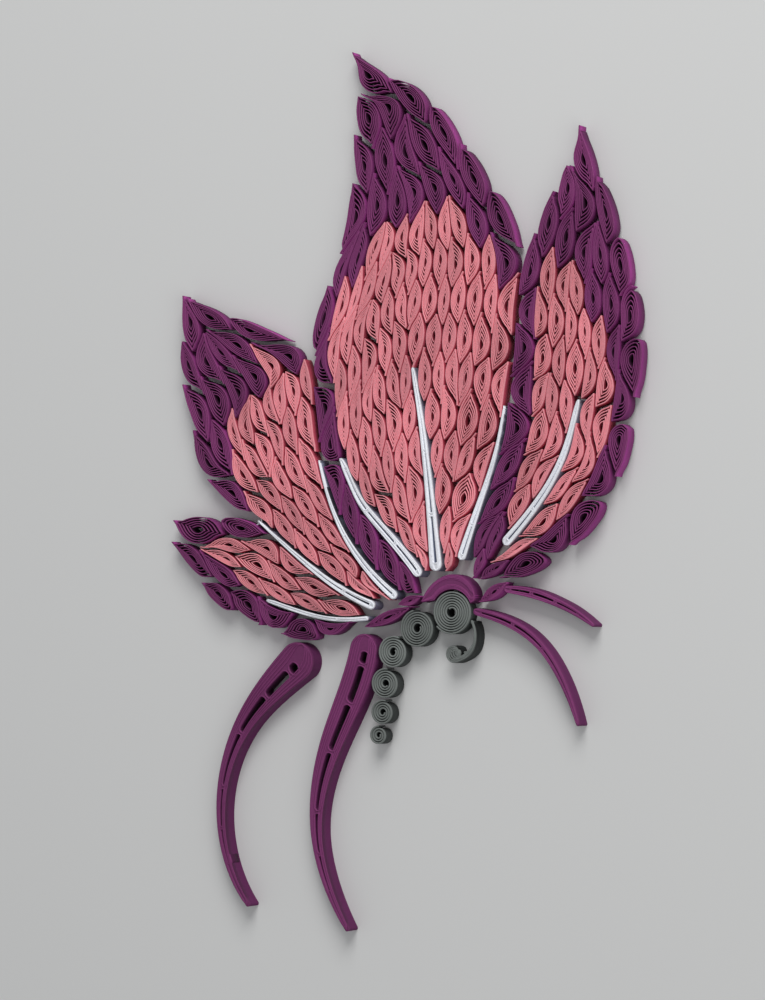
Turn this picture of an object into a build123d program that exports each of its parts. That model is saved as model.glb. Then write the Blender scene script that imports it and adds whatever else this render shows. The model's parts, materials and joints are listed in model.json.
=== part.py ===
from build123d import *
import math
import os
import random

# A quilled paper butterfly, lying flat: coils of paper strip stand on edge and are glued side by side.
# Lengths are in mm. X runs across the wings, Y from the tails to the wing tips, Z up from the table.
# Plan points are complex numbers, x + y*1j.

# Driving dimensions
strip_height = 3.2          # width of the paper strip, so the height of every piece
paper = 0.15                # thickness of the paper
glue_gap = 0.11             # glue line between two neighbours
seam_gap = 0.24             # room left beside a vein or another wing
plan_scale = 1.0            # size of the whole plan

pink_coil = (10.2, 2.9)     # length and width of a coil in the pink fields
purple_coil = (12.4, 3.8)   # length and width of a coil in the purple borders
wall_share = 0.38           # straight part of a coil's side over the distance between rows
eye_share = 0.24            # length of a coil's open eye over the coil's length
eye_slimness = 0.40         # width of the eye over its length
eye_room = 0.3              # most of a coil's width that the eye may take
scallop = 0.8               # how far a border coil bulges past the wing's edge line
tip_flare = 0.35            # how far a border coil's tip stands off the edge: its upper tip on the left
                            # edge, and its lower tip on the right one
tip_tuck = 0.7              # how far its neighbour's tip is drawn back there
free_tip = 0.95             # reach of the last coils past their row, in half coil lengths
root_tip = 0.3              # reach of the first coils behind their row, in half coil lengths
narrowest_coil = 1.1        # a place narrower than this is left empty
wander = 0.11               # random shift of a coil's corner, in coil widths
slack = 0.05                # how far a coil is drawn in towards its middle, as a share of its reach

head_radius = 3.7
body_radii = (3.2, 2.75, 2.6, 2.15, 1.65)
body_bends = (-147.5, -129.5, -96.0, -86.0, -91.0)      # direction from each body coil to the next, degrees
coil_bore = 0.16            # centre hole's radius over a body coil's radius

vein_tip = 0.5              # width of a vein at its pointed end
vein_reach = 0.25           # how far a vein's tip reaches past its last row, as a share of the gap between rows
vein_wall_share = 0.45      # thickness of a vein's wall over half its width
vein_bars = (0.0, 0.22, 0.5, 0.78, 1.0)     # where along a vein its loops end

# Plan positions
head_at = 17.0 - 19.75j
seam_left = [7.7 - 19.8j, 1.9 - 16.6j, -4.0 - 11.8j, -8.7 - 5.9j, -12.2 + 0.8j, -14.6 + 7.8j, -16.3 + 15j]
seam_right = [16.9 - 12.6j, 18.1 - 5.8j, 19.6 + 1.5j, 20.7 + 9j, 20.9 + 16.5j, 20.6 + 24j, 20.2 + 31j]
seam_low = [3.7 - 21.5j, -3.0 - 20j, -10.5 - 16.9j, -17.0 - 13.6j, -22.5 - 10.6j, -28.0 - 9.4j]

tail_left = [-10.9 - 33.0j, -15.3 - 38.5j, -19.2 - 45j, -21.3 - 52j, -21.4 - 60j, -19.2 - 67.5j, -13.2 - 75.5j]
tail_left_half = [3.3, 2.6, 1.8, 1.25, 0.9, 0.7, 0.4]
tail_right = [1.6 - 28.7j, 0.5 - 36.5j, -1.6 - 44.5j, -2.8 - 52.5j, -2.1 - 60.5j, 1 - 68j, 6.6 - 75.5j]
tail_right_half = [2.6, 2.6, 2.2, 1.6, 1.1, 0.8, 0.4]
tail_bars = (0.0, 0.055, 0.2, 0.38, 0.6, 0.75, 0.88)
tail_slot_shift = 0.18      # the open slot lies this share of the half width off the middle
antenna_upper = [26.6 - 14.3j, 31 - 14.2j, 35.5 - 14.9j, 39.4 - 16j, 42.8 - 17.5j]
antenna_lower_root = (10.5, 0.98)       # direction from the head's centre in degrees, and distance off its rim
antenna_lower = [28.5 - 19.8j, 34.5 - 22.8j, 39.4 - 28j, 42.9 - 33.8j]
antenna_half = [0.6, 0.8, 0.7, 0.55, 0.3]
antenna_bars = (0.02, 0.25, 0.5, 0.78, 0.97)
tongue_root = (-12.0, 0.39)
tongue_bends = [22.1 - 23.2j, 21.6 - 25.8j]
tongue_centre = 18.6 - 26.3j
tongue_curl = 1.6
tongue_angle = -40.0
tongue_turns = 1
tongue_thickness = 0.45
crown_rim = (32, 95, 158)       # directions from the head's centre to the crown's inner edge, degrees
crown_outer = [(172.6, 2.15), (131.2, 2.3), (91.9, 2.6), (60.9, 2.1), (33.2, 0.96)]     # and off its rim
root_left = (0.6 - 25.3j, 9.9 - 19.9j)      # tips of the single coils beside the head
root_middle = (6.6 - 20.3j, 11.2 - 18.1j)
root_right = (21.6 - 17.3j, 26.6 - 12.9j)
root_width = 2.1
root_middle_width = 1.7
seam_vein_root = 1.9
left_vein_end = 0.68        # how far up its seam each edge vein reaches
right_vein_end = 0.64
low_vein_end = 0.8
rows_per_node = 3

rng = random.Random(7)


def lerp(a, b, t):
    return a + (b - a) * t


def unit(v):
    return v / abs(v)


def along(points, t):
    """Value at t, from 0 to 1, on a smooth curve through evenly numbered points."""
    s = min(max(t, 0.0), 1.0) * (len(points) - 1)
    i = min(int(s), len(points) - 2)
    f = s - i
    b, c = points[i], points[i + 1]
    a = points[i - 1] if i > 0 else 2 * b - c
    d = points[i + 2] if i + 2 < len(points) else 2 * c - b
    return 0.5 * (2 * b + (c - a) * f + (2 * a - 5 * b + 4 * c - d) * f**2 + (3 * (b - c) + d - a) * f**3)


def beside(points, t, offset):
    """Point beside the curve, offset to its left hand."""
    step = 0.01
    heading = unit(along(points, min(t + step, 1.0)) - along(points, max(t - step, 0.0)))
    return along(points, t) + heading * 1j * offset


def off_head(direction, distance):
    """Plan point at a distance off the head's rim, in a direction in degrees."""
    angle = math.radians(direction)
    return head_at + (head_radius + distance) * complex(math.cos(angle), math.sin(angle))


def xy(p):
    return (p.real * plan_scale, p.imag * plan_scale)


def curve(points):
    return Spline(*[xy(p) for p in points])


def prism(sides, holes=()):
    """Solid of strip height over a closed outline of edges, with closed outlines cut through it."""
    up = (0, 0, 1)
    solid = extrude(Face(Wire(sides)), amount=strip_height, dir=up)
    for hole in holes:
        solid -= extrude(Face(Wire(hole)), amount=strip_height, dir=up)
    return solid


# Long loops: veins, tails and antennae


def ribbon(left, right, root_round, tip_round=0.0):
    """Closed outline between two side curves that share neither end, with rounded ends."""
    ends = []
    for a, b, reach in ((right[0], left[0], root_round), (left[-1], right[-1], tip_round)):
        across = b - a
        middle = lerp(a, b, 0.5) + unit(across) * 1j * reach if reach else None
        ends.append(ThreePointArc(xy(a), xy(middle), xy(b)) if reach else Line(xy(a), xy(b)))
    return [ends[0], curve(left), ends[1], curve(right[::-1])]


def loop_sides(centre, half_widths, start, end, count):
    """Left and right sides of a strip that follows a centre curve."""
    left = []
    right = []
    for i in range(count):
        t = lerp(start, end, i / (count - 1))
        half = along(half_widths, t)
        left.append(beside(centre, t, half))
        right.append(beside(centre, t, -half))
    return left, right


def nested_loops(centre, half_widths, walls, bars, slot_shift=0.0, points=7):
    """Loops of strip that share one root end and stop one after another, leaving a slot with bars."""
    left, right = loop_sides(centre, half_widths, 0.0, 1.0, points)
    outline = ribbon(left, right, abs(left[0] - right[0]) / 2, abs(left[-1] - right[-1]) / 2)
    slots = []
    for start, end in zip(bars[:-1], bars[1:]):
        gap = [half - wall for half, wall in zip(half_widths, walls)]
        route = [beside(centre, i / 8, along(half_widths, i / 8) * slot_shift) for i in range(9)]
        pace = abs(along(route, end) - along(route, start)) / (end - start)
        rounds = [along(gap, t) * 0.5 for t in (start, end)]
        sides = loop_sides(route, gap, start + (paper + rounds[0]) / pace, end - (paper + rounds[1]) / pace, 4)
        slots.append(ribbon(*sides, *rounds))
    return prism(outline, slots)


# Coils


def coil(bottom, top, left_side, right_side, eye_at, eye_length, eye_width):
    """Coil pinched at both ends; each side is given by the points between its two tips."""
    heading = unit(top - bottom)
    tip_a = eye_at - heading * eye_length / 2
    tip_b = eye_at + heading * eye_length / 2
    bulge = heading * 1j * eye_width / 2
    outline = []
    for start, side, end in ((bottom, left_side, top), (top, right_side[::-1], bottom)):
        outline += [Line(xy(start), xy(side[0])), curve(side), Line(xy(side[-1]), xy(end))]
    eye = [ThreePointArc(xy(tip_a), xy(eye_at + bulge), xy(tip_b)),
           ThreePointArc(xy(tip_b), xy(eye_at - bulge), xy(tip_a))]
    return prism(outline, [eye])


def tight_coil(centre, radius):
    """Round coil with a small open centre."""
    x, y = xy(centre)
    body = Cylinder(radius * plan_scale, strip_height) - Cylinder(radius * coil_bore, strip_height)
    return Pos(x, y, strip_height / 2) * body


def single_coil(bottom, top, width):
    """Free-standing pinched coil from tip to tip."""
    across = unit(top - bottom) * 1j
    sides = []
    for hand in (1, -1):
        bulges = [math.sin(share * math.pi) * width / 2 for share in (0.25, 0.5, 0.75)]
        sides.append([lerp(bottom, top, share) + across * hand * bulge
                      for share, bulge in zip((0.25, 0.5, 0.75), bulges)])
    length = abs(top - bottom) * eye_share
    return coil(bottom, top, sides[0], sides[1], lerp(bottom, top, 0.5), length, length * eye_slimness)


# Wings


class Wing:
    """A fan of coil rows between a left and a right edge curve.

    Each row is cut into coils side by side. A coil reaches one row down and one row up, so the
    strip between two rows is shared out like a row of teeth, and the coils fill it without gaps.
    """

    def __init__(self, name, left, right, arch, pink_from, pink_to, shared, veins=()):
        self.name = name
        self.left = left
        self.right = right
        self.arch = arch
        self.pink_from = pink_from
        self.pink_to = pink_to
        self.shared = shared            # how far up each edge another wing lies against it
        self.veins = veins
        self.levels = self.row_levels()
        self.rows = [self.cut_row(k) for k in range(len(self.levels))]

    def at(self, u, q):
        """Plan point a share u of the way to the tip and a share q of the way across."""
        a = along(self.left, u)
        b = along(self.right, u)
        return lerp(a, b, q) + (b - a) * 1j * along(self.arch, u) * 4 * q * (1 - q)

    def forward(self, u, q):
        step = 0.01
        return unit(self.at(min(u + step, 1.0), q) - self.at(max(u - step, 0.0), q))

    def is_pink(self, u, q):
        return along(self.pink_from, u) < q < along(self.pink_to, u)

    def pitch(self, u, q):
        """Distance between rows, from the length of the coils there."""
        length = pink_coil[0] if self.is_pink(u, q) else purple_coil[0]
        return length / (2 - wall_share)

    def row_levels(self):
        """Levels u of the rows, spaced by the pitch measured along the wing's middle."""
        steps = 200
        reached = [0.0]
        for i in range(steps):
            travel = abs(self.at((i + 1) / steps, 0.5) - self.at(i / steps, 0.5))
            reached.append(reached[-1] + travel / self.pitch((i + 0.5) / steps, 0.5))
        gaps = round(reached[-1])
        levels = []
        for k in range(gaps + 1):
            target = reached[-1] * k / gaps
            i = max(j for j in range(steps + 1) if reached[j] <= target)
            i = min(i, steps - 1)
            levels.append((i + (target - reached[i]) / (reached[i + 1] - reached[i])) / steps)
        return levels

    def cut_row(self, k):
        """Corners of row k and what lies between them: coils, or a vein that crosses the row."""
        u = self.levels[k]
        width = abs(along(self.right, u) - along(self.left, u))
        cuts = [(0.0, 0.0, None)]
        for vein in self.veins:
            crossed = [n for n, level in enumerate(self.levels) if vein["start"] <= level <= vein["end"]]
            t = (k - crossed[0]) / (crossed[-1] - crossed[0])
            q = lerp(vein["root"], vein["tip"], t) - vein["sag"] * 4 * t * (1 - t)
            if k in crossed:
                half = lerp(vein["root_width"], vein["tip_width"], t) / 2 / width
                cuts.append((q - half, q + half, vein["name"]))
            elif k in (crossed[0] - 1, crossed[-1] + 1):
                cuts.append((q, q, None))       # a corner that meets the vein's end
        cuts.append((1.0, 1.0, None))
        corners = [0.0]
        kinds = []
        for before, after in zip(cuts[:-1], cuts[1:]):
            if before[2]:
                kinds.append(before[2])
                corners.append(before[1])
            panel = self.cut_panel(u, width, before[1], after[0], k % 2)
            corners.extend(panel)
            kinds.extend(["coil"] * len(panel))
        points = self.place(u, corners, kinds)
        walls = [self.forward(u, q) * self.pitch(u, q) * wall_share / 2 for q in corners]
        return {"u": u, "corners": corners, "kinds": kinds, "points": points, "walls": walls}

    def cut_panel(self, u, width, start, end, odd):
        """Shares across the row where one coil ends and the next begins."""
        steps = 60
        counts = [0.0]
        for i in range(steps):
            q = lerp(start, end, (i + 0.5) / steps)
            coil_width = pink_coil[1] if self.is_pink(u, q) else purple_coil[1]
            counts.append(counts[-1] + width * (end - start) / steps / coil_width)
        number = max(1, math.floor(counts[-1] + 0.25 + 0.5 * odd))
        corners = []
        for j in range(1, number):
            target = counts[-1] * j / number
            i = max(n for n in range(steps) if counts[n] <= target)
            share = (i + (target - counts[i]) / (counts[i + 1] - counts[i])) / steps
            corners.append(lerp(start, end, share))
        return corners + [end]

    def place(self, u, corners, kinds):
        """Plan points of a row's corners, with the inner ones shifted a little at random."""
        points = []
        for i, q in enumerate(corners):
            p = self.at(u, q)
            inner = 0 < i < len(corners) - 1 and kinds[i - 1] == kinds[i] == "coil"
            if inner:
                size = abs(self.at(u, corners[i + 1]) - self.at(u, corners[i - 1])) / 2
                forward = self.forward(u, q)
                p += size * wander * (rng.uniform(-1, 1) * forward * -1j + rng.uniform(-1, 1) * forward * 1.6)
            points.append(p)
        return points

    def match_rows(self, k):
        """For each piece of row k and of row k + 1, the corner of the other row that its tip meets."""
        low, high = self.rows[k], self.rows[k + 1]
        up = [None] * len(low["kinds"])
        down = [None] * len(high["kinds"])
        walls = [name for name in low["kinds"] if name != "coil" and name in high["kinds"]]
        low_ends = [low["kinds"].index(name) for name in walls] + [len(low["kinds"])]
        high_ends = [high["kinds"].index(name) for name in walls] + [len(high["kinds"])]
        i = 0
        j = 0
        for low_end, high_end in zip(low_ends, high_ends):
            while i < low_end or j < high_end:
                low_middle = sum(low["corners"][i:i + 2]) / 2 if i < low_end else 9
                high_middle = sum(high["corners"][j:j + 2]) / 2 if j < high_end else 9
                tie = abs(low_middle - high_middle) < 0.02
                if (k % 2 == 0) if tie else low_middle < high_middle:
                    up[i] = j
                    i += 1
                else:
                    down[j] = i
                    j += 1
            i += 1
            j += 1
        return up, down

    def coils(self):
        """Every coil of the wing as (row, is pink, solid)."""
        last = len(self.rows) - 1
        links = [self.match_rows(k) for k in range(last)]
        made = []
        for k, row in enumerate(self.rows):
            for i, kind in enumerate(row["kinds"]):
                a, b = row["points"][i:i + 2]
                middle = sum(row["corners"][i:i + 2]) / 2
                room = abs(((b - a) / self.forward(row["u"], middle)).imag)
                if kind != "coil" or room < narrowest_coil:
                    continue
                above = links[k][0][i] if k < last else None
                below = links[k - 1][1][i] if k > 0 else None
                made.append((k, self.is_pink(row["u"], middle), self.make_coil(k, i, below, above)))
        return made

    def make_coil(self, k, i, below, above):
        row = self.rows[k]
        u = row["u"]
        corners = row["points"][i:i + 2]
        middle_q = sum(row["corners"][i:i + 2]) / 2
        forward = self.forward(u, middle_q)
        half = self.pitch(u, middle_q) * (2 - wall_share) / 2
        middle = lerp(corners[0], corners[1], 0.5)
        top = middle + forward * half * free_tip if above is None else self.tip_at(k + 1, above, -1)
        bottom = middle - forward * half * root_tip if below is None else self.tip_at(k - 1, below, 1)
        free = [u > self.shared[hand] and row["corners"][i + hand] == hand for hand in (0, 1)]
        sides = []
        for hand in (0, 1):
            outward = forward * (1j if hand == 0 else -1j)
            on_edge = [free[hand] and self.meets_edge(k - 1, below, hand),
                       free[hand] and self.meets_edge(k + 1, above, hand)]
            beyond = row["kinds"][i - 1 + 2 * hand] if 0 < i + hand < len(row["kinds"]) else "edge"
            clearance = glue_gap / 2 if beyond == "coil" or free[hand] else seam_gap
            wall = row["walls"][i + hand]
            sides.append(self.side(corners[hand], wall, bottom, top, outward, on_edge, clearance, below is None))
            flared = outward * tip_flare
            tucked = forward * tip_tuck
            if on_edge[1]:
                top += flared if hand == 0 else -flared / 2 - tucked
            if on_edge[0]:
                bottom += -flared / 2 + tucked if hand == 0 else flared
        trim = glue_gap * abs(top - bottom) / abs(corners[1] - corners[0]) / 2
        heading = unit(top - bottom)
        centre = (top + bottom + corners[0] + corners[1]) / 4
        bottom = lerp(bottom, centre, slack) + heading * trim
        top = lerp(top, centre, slack) - heading * trim
        sides = [[lerp(p, centre, slack) for p in side] for side in sides]
        waist = [side[len(side) // 2] for side in sides]
        eye_at = lerp(waist[0], waist[1], 0.5) + heading * rng.uniform(-0.07, 0.07) * abs(top - bottom)
        eye_length = abs(top - bottom) * eye_share * rng.uniform(0.6, 1.25)
        eye_width = min(eye_length * eye_slimness, abs(waist[1] - waist[0]) * eye_room)
        return coil(bottom, top, sides[0], sides[1], eye_at, eye_length, eye_width)

    def meets_edge(self, k, corner, hand):
        """Whether the tip that meets this corner of row k is on the wing's edge."""
        if corner is None:
            return False
        return corner == (0 if hand == 0 else len(self.rows[k]["points"]) - 1)

    def tip_at(self, k, corner, sign):
        """End of the wall at a corner of row k, where coils of the rows beside it have their tips."""
        return self.rows[k]["points"][corner] + self.rows[k]["walls"][corner] * sign

    def side(self, corner, wall, bottom, top, outward, on_edge, clearance, rounded_root):
        """Points of a coil's side, from its lower tip past its widest point to its upper tip."""
        inward = -outward * clearance
        both = all(on_edge)
        widest = corner + inward + outward * (scallop if both else 0.0)
        halves = []
        for sign, tip, edge in ((-1, bottom, on_edge[0]), (1, top, on_edge[1])):
            foot = corner + wall * sign
            step = tip - foot
            run = (step / outward).imag * outward * 1j
            half = []
            for share in (0.3, 0.7):
                eased = lerp(share, 3 * share**2 - 2 * share**3, 0.6)
                bulge = math.cos(share * math.pi / 2) if both else math.sin(share * math.pi) * 0.5
                p = foot + run * share + (step - run) * eased + inward * (1 - share)
                half.append(p + outward * scallop * bulge if edge else p)
            halves.append(half)
        if rounded_root:
            return [widest] + halves[1]
        return halves[0][::-1] + [widest] + halves[1]

    def vein_solid(self, vein):
        """Vein of folded loops along its own slot in the rows, root end round and tip end pointed."""
        crossed = [k for k, row in enumerate(self.rows) if vein["name"] in row["kinds"]]
        centre = []
        half_widths = []
        for k in crossed:
            i = self.rows[k]["kinds"].index(vein["name"])
            a, b = self.rows[k]["points"][i:i + 2]
            centre.append((a + b) / 2)
            half_widths.append(abs(b - a) / 2 - seam_gap / 2)
        centre.append(centre[-1] + (centre[-1] - centre[-2]) * vein_reach)
        half_widths.append(vein_tip / 2)
        return vein_loops(centre, half_widths)


def seam_half(t, vein_end):
    """Half the width that a vein on a seam takes up at t."""
    return max(lerp(seam_vein_root, vein_tip, t / vein_end) / 2, 0.0)


def seam_edge(seam, vein_end, hand):
    """Stations of a wing's edge along a seam, moved off it by the vein that lies there."""
    last = len(seam) - 1
    return [beside(seam, i / last, hand * (seam_half(i / last, vein_end) + glue_gap)) for i in range(last + 1)]


def vein_loops(centre, half_widths):
    walls = [half * vein_wall_share for half in half_widths]
    return nested_loops(centre, half_widths, walls, vein_bars, points=len(centre) + 2)


def wings():
    """The four coil fans. The left wing is two fans with a vein between them."""
    centre = Wing(
        "centre_wing",
        left=seam_edge(seam_left, left_vein_end, -1)
        + [-17 + 22j, -15.9 + 30.5j, -13.8 + 40j, -14.0 + 50j, -15.4 + 59.5j, -15.8 + 65.8j],
        right=seam_edge(seam_right, right_vein_end, 1)
        + [19.6 + 38.5j, 17.0 + 44j, 12.3 + 50.8j, 4.6 + 58.6j, -4 + 65.6j, -12.9 + 68.6j],
        arch=[0.3, 0.28, 0.26, 0.23, 0.2, 0.18, 0.15, 0.12, 0.08, 0.03, -0.03, -0.06, 0.0],
        pink_from=[0.4, 0.25, 0.2, 0.16, 0.13, 0.11, 0.1, 0.11, 0.15, 0.34, 1.0, 1.0, 1.0],
        pink_to=[1.1, 1.1, 1.1, 1.1, 1.1, 1.1, 1.1, 0.96, 0.84, 0.7, 0.0, 0.0, 0.0],
        shared=(0.56, 0.62),
        veins=[{"name": "vein_centre_left", "root": 0.4, "tip": 0.12, "sag": 0.06, "start": 0.0, "end": 0.33,
                "root_width": 1.9, "tip_width": 1.0},
               {"name": "vein_centre_middle", "root": 0.76, "tip": 0.57, "sag": 0.0, "start": 0.0, "end": 0.42,
                "root_width": 2.1, "tip_width": 0.9}])
    right = Wing(
        "right_wing",
        left=[19.4 - 12.6j] + seam_edge(seam_right, right_vein_end, -1)[1:]
        + [20.0 + 38.5j, 21.6 + 45j, 24.4 + 53j, 26.2 + 58j],
        right=[22.8 - 13.2j, 30.4 - 10.2j, 36.6 - 4.8j, 41.0 + 2j, 42.9 + 9.5j, 43.4 + 17j, 43.5 + 24.5j,
               42.8 + 32j, 40.3 + 39j, 36 + 47.4j, 29.8 + 57.4j],
        arch=[0.15, 0.2, 0.17, 0.12, 0.1, 0.08, 0.05, 0.0, -0.03, -0.04, 0.0],
        pink_from=[1.0, 0.34, 0.18, 0.16, 0.16, 0.15, 0.14, 0.2, 1.0, 1.0, 1.0],
        pink_to=[0.0, 0.74, 0.8, 0.85, 0.86, 0.85, 0.78, 0.6, 0.0, 0.0, 0.0],
        shared=(0.74, 0.0),
        veins=[{"name": "vein_right", "root": 0.5, "tip": 0.55, "sag": 0.0, "start": 0.06, "end": 0.43,
                "root_width": 1.9, "tip_width": 1.0}])
    left = Wing(
        "left_wing",
        left=seam_edge(seam_low, low_vein_end, -1) + [-35.6 - 3.5j, -39.2 + 5j, -42.6 + 13j, -43.8 + 20.5j],
        right=seam_edge(seam_left, left_vein_end, 1) + [-19.8 + 19.6j, -28.5 + 21.8j, -37.5 + 24.2j],
        arch=[0.15, 0.15, 0.15, 0.15, 0.15, 0.1, 0.05, 0.0, 0.0, 0.0],
        pink_from=[-0.1, -0.1, -0.1, -0.1, 0.0, 0.06, 0.3, 0.6, 1.0, 1.0],
        pink_to=[1.1, 1.1, 1.1, 1.1, 1.1, 1.1, 1.0, 0.8, 0.0, 0.0],
        shared=(0.6, 0.7))
    lower = Wing(
        "lower_wing",
        left=[-0.2 - 24.9j, -5.5 - 27.8j, -13 - 28.6j, -20.5 - 27.8j, -27.5 - 25.6j, -33.5 - 21.5j],
        right=seam_edge(seam_low, low_vein_end, 1)[:4] + [-25 - 11.6j, -33 - 11.2j],
        arch=[0.1, 0.1, 0.1, 0.1, 0.1, 0.15],
        pink_from=[0.5, 0.46, 0.38, 0.36, 0.36, 1.0],
        pink_to=[1.1, 1.1, 1.1, 1.05, 0.9, 0.0],
        shared=(0.0, 0.7),
        veins=[{"name": "vein_lower", "root": 0.46, "tip": 0.34, "sag": 0.0, "start": 0.0, "end": 0.6,
                "root_width": 1.0, "tip_width": 0.9}])
    return centre, right, left, lower


def body():
    """Head and body coils in a chain, and the coiled tongue."""
    pieces = {"head_coil": tight_coil(head_at, head_radius)}
    centre = head_at
    radius = head_radius
    for number, (next_radius, bend) in enumerate(zip(body_radii, body_bends), start=2):
        direction = complex(math.cos(math.radians(bend)), math.sin(math.radians(bend)))
        centre += direction * (radius + next_radius + glue_gap)
        radius = next_radius
        pieces[f"body_coil_{number}"] = tight_coil(centre, radius)
    pieces["tongue"] = tongue()
    return pieces


def tongue():
    """Strip that leaves the head, swings round and ends in a small curl."""
    route = [off_head(*tongue_root), *tongue_bends]
    for i in range(tongue_turns * 8 + 1):
        angle = math.radians(tongue_angle - 45 * i)
        radius = lerp(tongue_curl, tongue_curl * 0.35, i / (tongue_turns * 8))
        route.append(tongue_centre + radius * complex(math.cos(angle), math.sin(angle)))
    left = [beside(route, i / (len(route) - 1), tongue_thickness / 2) for i in range(len(route))]
    right = [beside(route, i / (len(route) - 1), -tongue_thickness / 2) for i in range(len(route))]
    return prism(ribbon(left, right, 0.0))


def root_coils():
    """Purple coils that fill in round the head."""
    rim = [off_head(direction, glue_gap) for direction in crown_rim]
    outer = [off_head(*place) for place in crown_outer]
    arc = ThreePointArc(*[xy(p) for p in rim])
    crown = prism([curve(outer), Line(xy(outer[-1]), xy(rim[0])), arc, Line(xy(rim[2]), xy(outer[0]))])
    return {"crown_coil": crown,
            "root_coil_right": single_coil(root_right[0], root_right[1], root_width),
            "root_coil_middle": single_coil(root_middle[0], root_middle[1], root_middle_width),
            "root_coil_left": single_coil(root_left[0], root_left[1], root_width)}


def tails():
    left = nested_loops(tail_left, tail_left_half, tail_walls(tail_left_half), tail_bars, tail_slot_shift)
    right = nested_loops(tail_right, tail_right_half, tail_walls(tail_right_half), tail_bars, tail_slot_shift)
    return {"tail_left": left, "tail_right": right}


def tail_walls(half_widths):
    return [half * lerp(0.66, 0.4, i / len(half_widths)) for i, half in enumerate(half_widths)]


def antennae():
    lower = [off_head(*antenna_lower_root), *antenna_lower]
    walls = tail_walls(antenna_half)
    return {"antenna_upper": nested_loops(antenna_upper, antenna_half, walls, antenna_bars),
            "antenna_lower": nested_loops(lower, antenna_half, walls, antenna_bars)}


def edge_veins():
    """Veins between two wings, each along the first part of their shared seam."""
    made = {}
    for name, seam, end in (("vein_left_border", seam_left, left_vein_end),
                            ("vein_centre_right", seam_right, right_vein_end),
                            ("vein_left_middle", seam_low, low_vein_end)):
        shares = [lerp(0.06, end, i / 4) for i in range(5)]
        centre = [along(seam, t) for t in shares]
        halves = [seam_half(t, end) - seam_gap / 2 for t in shares]
        made[name] = vein_loops(centre, halves)
    return made


def all_pieces():
    """Every node's name with the list of its shapes."""
    pieces = {}
    for wing in wings():
        for number, pink, solid in wing.coils():
            colour = "pink" if pink else "purple"
            pieces.setdefault(f"{wing.name}_{colour}_{number // rows_per_node + 1}", []).append(solid)
        for vein in wing.veins:
            pieces[vein["name"]] = [wing.vein_solid(vein)]
    for group in (edge_veins(), root_coils(), body(), tails(), antennae()):
        pieces.update({name: [solid] for name, solid in group.items()})
    return pieces


os.makedirs("parts", exist_ok=True)
pieces = all_pieces()
everything = Compound([solid for shapes in pieces.values() for shape in shapes for solid in shape.solids()])
middle = everything.bounding_box().center()
to_origin = Pos(-middle.X, -middle.Y, 0)
for node, shapes in pieces.items():
    solids = [to_origin * solid for shape in shapes for solid in shape.solids()]
    export_step(Compound(solids), f"parts/{node}.step")
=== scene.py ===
import json
import math
import random

import bmesh
import bpy
from mathutils import Matrix, Vector


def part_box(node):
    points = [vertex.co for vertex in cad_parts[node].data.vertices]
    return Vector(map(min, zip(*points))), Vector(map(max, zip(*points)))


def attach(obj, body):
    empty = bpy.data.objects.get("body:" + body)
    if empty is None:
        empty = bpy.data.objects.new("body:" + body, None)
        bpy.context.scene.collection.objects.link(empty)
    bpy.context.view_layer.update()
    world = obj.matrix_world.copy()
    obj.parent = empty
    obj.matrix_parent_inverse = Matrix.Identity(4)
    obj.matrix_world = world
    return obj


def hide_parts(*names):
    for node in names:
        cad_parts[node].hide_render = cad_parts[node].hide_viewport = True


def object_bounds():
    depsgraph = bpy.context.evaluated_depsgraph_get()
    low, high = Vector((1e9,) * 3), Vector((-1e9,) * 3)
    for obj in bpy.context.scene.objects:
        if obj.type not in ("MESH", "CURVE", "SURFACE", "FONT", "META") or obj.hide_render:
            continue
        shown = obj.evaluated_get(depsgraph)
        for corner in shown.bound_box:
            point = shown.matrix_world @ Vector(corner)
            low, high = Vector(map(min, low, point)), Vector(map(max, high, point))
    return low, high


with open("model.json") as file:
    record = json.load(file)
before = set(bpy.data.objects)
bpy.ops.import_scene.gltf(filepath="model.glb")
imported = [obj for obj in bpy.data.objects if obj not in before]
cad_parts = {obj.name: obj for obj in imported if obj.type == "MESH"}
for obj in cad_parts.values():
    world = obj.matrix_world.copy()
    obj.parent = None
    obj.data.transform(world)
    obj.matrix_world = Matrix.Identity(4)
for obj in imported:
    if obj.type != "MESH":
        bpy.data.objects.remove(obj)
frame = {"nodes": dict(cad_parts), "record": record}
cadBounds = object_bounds()
slotOf = {s["node"]: s["material_slot"] for s in frame["record"]["subparts"]}
rng = random.Random(11)
print("frame loaded,", len(frame["nodes"]), "nodes")

# what a user would change, in metres

# wing coils, pinched at both ends; eye is the inner turn's size as a share of the outer one
pinched = {"paper": 0.00013, "turns": 5, "points": 32, "eye": 0.2, "waver": 0.05, "sink": 0.0003}
# head and body coils, with as many turns as fit
tight = {"paper": 0.00024, "pitch": 0.00042, "points": 40, "eye": 0.2, "waver": 0.0, "sink": 0.00012}
# veins, tails, antennae, tongue and crown; layers go from the outline, 0, to the middle line, 1
folded = {"paper": 0.00018, "points": 72, "slotPoints": 32, "layers": (0.06, 0.24, 0.42, 0.6), "sunk": 0.00014}
# any strip: how uneven its top is, how much shorter it is than the piece and how far below the piece's top
strip = {"uneven": 0.00012, "wave": 0.11, "slack": 0.0005, "lift": 0.00002}
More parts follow.
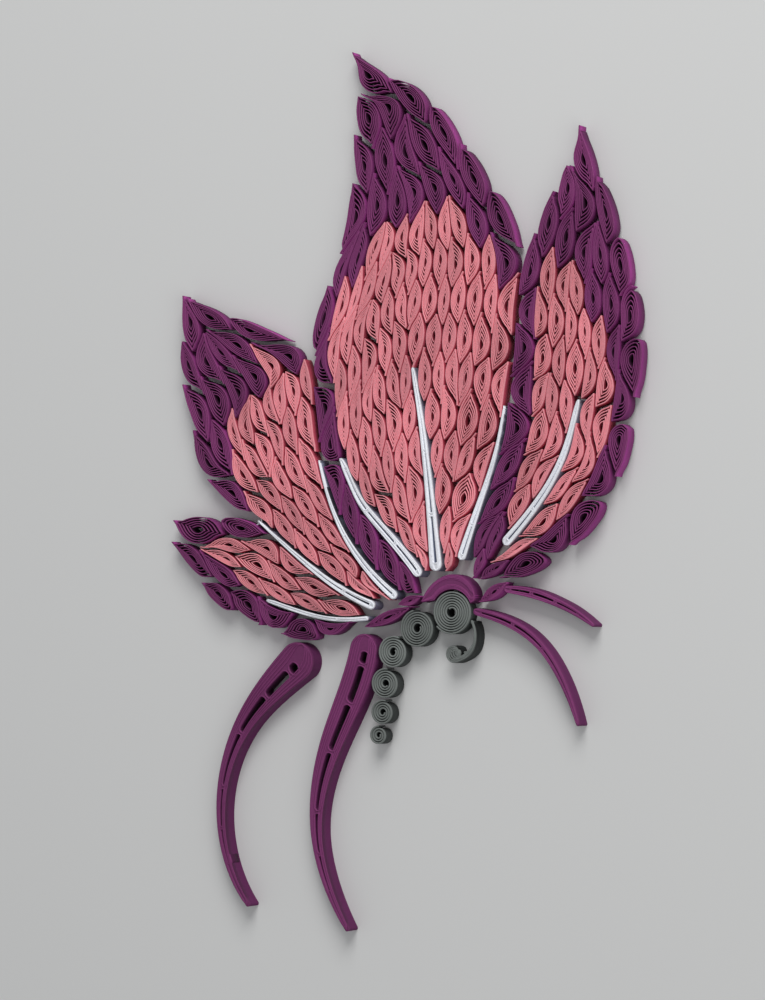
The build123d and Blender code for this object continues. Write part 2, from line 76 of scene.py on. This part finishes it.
# painted shade inside the rolls, layers and slots, from 0 to 1, and the folded pieces' sunk solids made darker
# as painted shade
paintedShadeLevels = {"perTurn": 0.8, "perLayer": 3, "slot": 0.9, "sunk": 0.6, "sunkShade": -2.4}
# edge and wall are the paper's tops and side walls as lit, lighter or darker than each other as light falls:
# painted light and shade
# the third colour of each paper is painted shade: walls far inside the rolls, layers and slots are mixed
# towards it
colours = {
    "pink_paper": {"edge": (0.80, 0.29, 0.33), "wall": (0.52, 0.075, 0.12), "paintedShadeWall": (0.20, 0.015, 0.03)},
    "purple_paper": {"edge": (0.21, 0.04, 0.15), "wall": (0.36, 0.052, 0.27), "paintedShadeWall": (0.045, 0.006, 0.032)},
    "white_paper": {"edge": (0.82, 0.83, 0.88), "wall": (0.45, 0.47, 0.60), "paintedShadeWall": (0.16, 0.18, 0.25)},
    "grey_paper": {"edge": (0.17, 0.185, 0.175), "wall": (0.085, 0.095, 0.09), "paintedShadeWall": (0.012, 0.014, 0.014)},
}
# the paper's surface: edgeFrom to edgeTo below the top, the colour goes from wall to edge, a painted light and
# shade change from the side walls to the tops
surface = {"edgeFrom": 0.0005, "edgeTo": 0.00036, "fibreScale": 2600, "toneScale": 90,
           "shadeAmount": 0.12, "fibreAmount": 0.35, "toneAmount": 0.35, "brightness": 0.66,
           "roughest": 0.9, "smoothest": 0.62, "bump": 0.35, "bumpDepth": 0.00004, "specular": 0.25}
floor = {"half": 3.0, "below": 0.00002, "colour": (0.66, 0.66, 0.65, 1), "roughness": 0.85}
sky = {"colour": (0.95, 0.97, 1.0, 1), "strength": 0.36}
lights = {"key": {"place": (0.12, 0.62, 0.5), "size": 0.45, "power": 4.2},
          "fill": {"place": (0.6, -0.1, 0.6), "size": 0.6, "power": 1.2}}
view = {"place": (0.2620, 0.0190, 0.4774), "target": (0.0, -0.001, 0.001), "roll": 8.7, "lens": 116}

weld = 1e-6         # vertices closer than this are one
level = 1e-5        # a face within this of the top is on top


# a node with its inputs, each a value or another node's output
def addNode(tree, kind, inputs, **settings):
    node = tree.nodes.new(kind)
    for name, value in settings.items():
        setattr(node, name, value)
    for key, value in inputs.items():
        if isinstance(value, bpy.types.NodeSocket):
            tree.links.new(value, node.inputs[key])
        else:
            node.inputs[key].default_value = value
    return node


# outlines

# closed loops of vertex numbers, from the edges round a patch of faces
def walkLoops(edges):
    neighbours = {}
    for a, b in edges:
        neighbours.setdefault(a, []).append(b)
        neighbours.setdefault(b, []).append(a)
    loops = []
    used = set()
    for start in neighbours:
        if start in used:
            continue
        loop = [start]
        used.add(start)
        while True:
            onward = [n for n in neighbours[loop[-1]] if n not in used]
            if not onward:
                break
            loop.append(onward[0])
            used.add(onward[0])
        loops.append(loop)
    return loops


def area(points):
    total = 0.0
    for a, b in zip(points, points[1:] + points[:1]):
        total += a.x * b.y - b.x * a.y
    return total / 2


# each solid of a node as its closed top outlines, the outer one first
def outlinesOf(node):
    mesh = bmesh.new()
    mesh.from_mesh(frame["nodes"][node].data)
    bmesh.ops.remove_doubles(mesh, verts=mesh.verts, dist=weld)
    mesh.verts.index_update()
    mesh.faces.index_update()
    mesh.verts.ensure_lookup_table()
    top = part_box(node)[1].z
    onTop = [f for f in mesh.faces if all(abs(v.co.z - top) < level for v in f.verts)]
    topIndex = {f.index for f in onTop}
    solids = []
    seen = set()
    for first in onTop:
        if first.index in seen:
            continue
        seen.add(first.index)
        patch = [first]
        rim = []
        for face in patch:
            for edge in face.edges:
                others = [f for f in edge.link_faces if f.index in topIndex and f != face]
                if not others:
                    rim.append((edge.verts[0].index, edge.verts[1].index))
                for other in others:
                    if other.index not in seen:
                        seen.add(other.index)
                        patch.append(other)
        loops = []
        for loop in walkLoops(rim):
            points = [mesh.verts[i].co.xy.copy() for i in loop]
            if len(points) > 2:
                loops.append(points if area(points) > 0 else points[::-1])
        solids.append(sorted(loops, key=area, reverse=True))
    mesh.free()
    return solids


# points at even steps along a chain, without its last end
def alongChain(points, count):
    reach = [0.0]
    for a, b in zip(points, points[1:]):
        reach.append(reach[-1] + (b - a).length)
    out = []
    i = 0
    for k in range(count):
        want = reach[-1] * k / count
        while reach[i + 1] < want:
            i += 1
        share = (want - reach[i]) / (reach[i + 1] - reach[i])
        out.append(points[i].lerp(points[i + 1], share))
    return out


# the outline as evenly spaced points, from one far end round to the other and back
def evened(loop, count):
    middle = sum(loop, Vector((0, 0))) / len(loop)
    start = max(range(len(loop)), key=lambda i: (loop[i] - middle).length)
    loop = loop[start:] + loop[:start]
    far = max(range(len(loop)), key=lambda i: (loop[i] - loop[0]).length)
    return alongChain(loop[:far + 1], count // 2) + alongChain(loop[far:] + loop[:1], count // 2)


# paper strips on edge

# one strip's path in the piece's list of them
def addPath(build, path, drops, closed, shade, inners):
    first = len(build["verts"])
    count = len(path)
    middle = build["top"] / 2 + strip["slack"] / 2 - strip["lift"]
    # each point keeps the strip's random tone and its amount of painted shade
    for p, drop, inner in zip(path, drops, inners):
        build["verts"].append((p.x, p.y, middle - drop))
        build["shade"].append(shade)
        build["inner"].append(inner)
    for i in range(count if closed else count - 1):
        build["edges"].append((first + i, first + (i + 1) % count))


# node tree that sweeps an upright strip along every path
def stripTree():
    tree = bpy.data.node_groups.new("paperStrips", "GeometryNodeTree")
    face = tree.interface
    face.new_socket("Paths", in_out="INPUT", socket_type="NodeSocketGeometry")
    face.new_socket("Thickness", in_out="INPUT", socket_type="NodeSocketFloat")
    face.new_socket("Height", in_out="INPUT", socket_type="NodeSocketFloat")
    face.new_socket("Paper", in_out="INPUT", socket_type="NodeSocketMaterial")
    face.new_socket("Strips", in_out="OUTPUT", socket_type="NodeSocketGeometry")
    start = addNode(tree, "NodeGroupInput", {})
    curves = addNode(tree, "GeometryNodeMeshToCurve", {"Mesh": start.outputs["Paths"]})
    upright = addNode(tree, "GeometryNodeSetCurveNormal", {"Curve": curves.outputs["Curve"]}, mode="Z_UP")
    section = addNode(tree, "GeometryNodeCurvePrimitiveQuadrilateral",
                      {"Width": start.outputs["Thickness"], "Height": start.outputs["Height"]})
    sweep = addNode(tree, "GeometryNodeCurveToMesh",
                    {"Curve": upright.outputs["Curve"], "Profile Curve": section.outputs["Curve"],
                     "Fill Caps": True})
    realize = addNode(tree, "GeometryNodeRealizeInstances", {"Geometry": sweep.outputs["Mesh"]})
    paint = addNode(tree, "GeometryNodeSetMaterial",
                    {"Geometry": realize.outputs["Geometry"], "Material": start.outputs["Paper"]})
    addNode(tree, "NodeGroupOutput", {"Strips": paint.outputs["Geometry"]})
    return tree


# mesh of all the strips of a piece
def pathsToStrips(build, paper, material):
    mesh = bpy.data.meshes.new("paths")
    mesh.from_pydata(build["verts"], build["edges"], [])
    for name in ("shade", "inner"):
        mesh.attributes.new(name, "FLOAT", "POINT").data.foreach_set("value", build[name])
    paths = bpy.data.objects.new("paths", mesh)
    bpy.context.scene.collection.objects.link(paths)
    modifier = paths.modifiers.new("strips", "NODES")
    modifier.node_group = strips
    values = {"Thickness": paper, "Height": build["top"] - strip["slack"], "Paper": material}
    for item in strips.interface.items_tree:
        if item.name in values:
            modifier[item.identifier] = values[item.name]
    bpy.context.view_layer.update()
    shown = paths.evaluated_get(bpy.context.evaluated_depsgraph_get())
    made = bpy.data.meshes.new_from_object(shown)
    bpy.data.objects.remove(paths)
    return made


# the outline wound inwards to its centre, from size start to size end
def spiral(outline, centre, turns, start, end, waver):
    count = len(outline)
    path = []
    pulls = [rng.uniform(-1, 1) * waver for turn in range(int(turns) + 2)]
    for step in range(int(turns * count) + 1):
        share = step / (turns * count)
        turn = step // count
        blend = (step % count) / count
        pull = pulls[turn] * (1 - blend) + pulls[turn + 1] * blend
        size = start + (end - start) * share
        size = min(size * (1 + pull * share), start)
        path.append(centre + (outline[step % count] - centre) * size)
    return path


# how far each point of a path lies below the highest place, from the outer turn to the inner one
def unevenDrops(count, sink=0.0):
    low = rng.uniform(0, strip["uneven"])
    turn = rng.uniform(0, math.tau)
    wave = [low * (0.5 + 0.5 * math.sin(i * strip["wave"] + turn)) for i in range(count)]
    return [w + sink * i / count for i, w in enumerate(wave)]


# one rolled strip, round its eye or bore
def addSpiral(build, loops, kind):
    outline = evened(loops[0], kind["points"])
    hole = loops[1] if len(loops) > 1 else outline
    centre = sum(hole, Vector((0, 0))) / len(hole)
    narrow = min((p - centre).length for p in outline)
    start = 1 - kind["paper"] / 2 / narrow
    end = kind["eye"]
    turns = kind["turns"] if "turns" in kind else narrow * (start - end) / kind["pitch"]
    path = spiral(outline, centre, turns, start, end, kind["waver"])
    count = len(path)
    # painted shade: the walls get darker turn by turn towards the roll's middle
    inners = [min(1.0, i / kind["points"] * paintedShadeLevels["perTurn"]) for i in range(count)]
    addPath(build, path, unevenDrops(count, kind["sink"]), False, rng.uniform(-1, 1), inners)


# a closed loop moved inwards by a depth
def drawnIn(loop, depth):
    drawn = []
    for i, p in enumerate(loop):
        along = loop[(i + 1) % len(loop)] - loop[i - 1]
        drawn.append(p + Vector((-along.y, along.x)).normalized() * depth)
    return drawn


# nested layers that follow the outline, drawn in towards the middle line
def addFolded(build, loops):
    outline = evened(loops[0], folded["points"])
    count = len(outline)
    shade = rng.uniform(-1, 1)
    outline = drawnIn(outline, folded["paper"] / 2)
    for layer in folded["layers"]:
        path = [p.lerp(outline[-i % count], layer / 2) for i, p in enumerate(outline)]
        # painted shade: layers nearer the middle line are darker
        addPath(build, path, unevenDrops(count), True, shade, [min(1.0, layer * paintedShadeLevels["perLayer"])] * count)
    count = folded["slotPoints"]
    for slot in loops[1:]:
        # painted shade: the slots' walls are darker
        addPath(build, evened(slot, count), unevenDrops(count), True, shade, [paintedShadeLevels["slot"]] * count)


# the folded piece's own solid, a little lower than its strips, made darker as painted shade between them
def sunkSolid(node, top):
    mesh = bmesh.new()
    mesh.from_mesh(frame["nodes"][node].data)
    bmesh.ops.remove_doubles(mesh, verts=mesh.verts, dist=weld)
    shade = mesh.verts.layers.float.new("shade")
    inner = mesh.verts.layers.float.new("inner")
    for v in mesh.verts:
        # painted shade: the sunk solid gets a strong darkening and the painted shade colour
        v[shade] = paintedShadeLevels["sunkShade"]
        v[inner] = paintedShadeLevels["sunk"]
        if v.co.z > top / 2:
            v.co.z = top - folded["sunk"]
        v.co.z = max(v.co.z, 0.0)
    return mesh


# paper

def paperMaterial(name, colour, top):
    material = bpy.data.materials.new(name)
    material.use_nodes = True
    tree = material.node_tree
    firstColour, secondColour, mixedColour = 6, 7, 2
    place = addNode(tree, "ShaderNodeTexCoord", {}).outputs["Object"]
    up = addNode(tree, "ShaderNodeSeparateXYZ", {"Vector": place}).outputs["Z"]
    onEdge = addNode(tree, "ShaderNodeMapRange", {"Value": up, "From Min": top - surface["edgeFrom"],
                                                  "From Max": top - surface["edgeTo"]})
    inner = addNode(tree, "ShaderNodeAttribute", {}, attribute_name="inner")
    # painted shade: the wall colour is mixed towards its darker copy by each point's painted shade amount
    wall = addNode(tree, "ShaderNodeMix", {0: inner.outputs["Fac"], firstColour: (*colour["wall"], 1),
                                           secondColour: (*colour["paintedShadeWall"], 1)}, data_type="RGBA")
    # painted light and shade: the tops and the walls' upper band take the edge colour, set apart from the wall
    # colour by how light falls
    plain = addNode(tree, "ShaderNodeMix", {0: onEdge.outputs[0], firstColour: wall.outputs[mixedColour],
                                            secondColour: (*colour["edge"], 1)}, data_type="RGBA")
    fibre = addNode(tree, "ShaderNodeTexNoise",
                    {"Vector": place, "Scale": surface["fibreScale"], "Detail": 4}).outputs[0]
    tone = addNode(tree, "ShaderNodeTexNoise",
                   {"Vector": place, "Scale": surface["toneScale"], "Detail": 2}).outputs[0]
    # the shade attribute is a random tone per roll or folded piece, and painted shade on the sunk solids
    shade = addNode(tree, "ShaderNodeAttribute", {}, attribute_name="shade").outputs["Fac"]
    # brightness = base + fibre, tone and shade, each by its amount
    bright = surface["brightness"]
    for amount, part in (("fibreAmount", fibre), ("toneAmount", tone), ("shadeAmount", shade)):
        bright = addNode(tree, "ShaderNodeMath", {0: part, 1: surface[amount], 2: bright},
                         operation="MULTIPLY_ADD").outputs[0]
    toned = addNode(tree, "ShaderNodeHueSaturation", {"Color": plain.outputs[mixedColour], "Value": bright})
    rough = addNode(tree, "ShaderNodeMapRange",
                    {"Value": fibre, "To Min": surface["smoothest"], "To Max": surface["roughest"]})
    bump = addNode(tree, "ShaderNodeBump",
                   {"Height": fibre, "Strength": surface["bump"], "Distance": surface["bumpDepth"]})
    shader = tree.nodes["Principled BSDF"]
    tree.links.new(toned.outputs[0], shader.inputs["Base Color"])
    tree.links.new(rough.outputs[0], shader.inputs["Roughness"])
    tree.links.new(bump.outputs[0], shader.inputs["Normal"])
    shader.inputs["Specular IOR Level"].default_value = surface["specular"]
    return material


# pieces, one for each node

def makePiece(node, material):
    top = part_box(node)[1].z
    build = {"verts": [], "edges": [], "shade": [], "inner": [], "top": top}
    layered = node.startswith(("vein", "tail", "antenna", "tongue", "crown"))
    kind = folded if layered else tight if node.startswith(("head", "body")) else pinched
    for loops in outlinesOf(node):
        if layered:
            addFolded(build, loops)
        else:
            addSpiral(build, loops, kind)
    made = pathsToStrips(build, kind["paper"], material)
    mesh = sunkSolid(node, top) if layered else bmesh.new()
    mesh.from_mesh(made)
    bmesh.ops.recalc_face_normals(mesh, faces=mesh.faces)
    mesh.to_mesh(made)
    mesh.free()
    piece = bpy.data.objects.new(node + "_paper", made)
    bpy.context.scene.collection.objects.link(piece)
    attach(piece, "root")
    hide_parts(node)
    return len(made.polygons)


def makeFloor():
    mesh = bpy.data.meshes.new("floor")
    half = floor["half"]
    corners = [(-half, -half, 0), (half, -half, 0), (half, half, 0), (-half, half, 0)]
    mesh.from_pydata(corners, [], [(0, 1, 2, 3)])
    material = bpy.data.materials.new("pale_floor")
    material.use_nodes = True
    shader = material.node_tree.nodes["Principled BSDF"]
    shader.inputs["Base Color"].default_value = floor["colour"]
    shader.inputs["Roughness"].default_value = floor["roughness"]
    mesh.materials.append(material)
    ground = bpy.data.objects.new("floor", mesh)
    ground.location.z = -floor["below"]
    bpy.context.scene.collection.objects.link(ground)


def makeSky():
    world = bpy.data.worlds.new("studio")
    world.use_nodes = True
    background = world.node_tree.nodes["Background"]
    background.inputs["Color"].default_value = sky["colour"]
    background.inputs["Strength"].default_value = sky["strength"]
    bpy.context.scene.world = world


def addLight(name, place, size, power):
    light = bpy.data.lights.new(name, "AREA")
    light.size = size
    light.energy = power
    lamp = bpy.data.objects.new(name, light)
    lamp.location = place
    lamp.rotation_euler = (-Vector(place)).to_track_quat("-Z", "Y").to_euler()
    bpy.context.scene.collection.objects.link(lamp)


def makeCamera():
    camera = bpy.data.objects.new("camera", bpy.data.cameras.new("camera"))
    camera.data.lens = view["lens"]
    place = Vector(view["place"])
    ahead = (Vector(view["target"]) - place).normalized()
    right = ahead.cross(Vector((0, 1, 0))).normalized()
    above = right.cross(ahead)
    turn = Matrix((right, above, -ahead)).transposed().to_4x4()
    roll = Matrix.Rotation(math.radians(view["roll"]), 4, "Z")
    camera.matrix_world = Matrix.Translation(place) @ turn @ roll
    bpy.context.scene.collection.objects.link(camera)
    bpy.context.scene.camera = camera


height = cadBounds[1][2]
papers = {name: paperMaterial(name, colour, height) for name, colour in colours.items()}
strips = stripTree()
faceCount = sum(makePiece(node, papers[slotOf[node]]) for node in sorted(frame["nodes"]))
print("paper pieces made,", faceCount, "faces")

makeFloor()
makeSky()
for name, light in lights.items():
    addLight(name, light["place"], light["size"], light["power"])
makeCamera()
bpy.context.scene.view_settings.view_transform = "Standard"
print("floor, lights and camera placed")
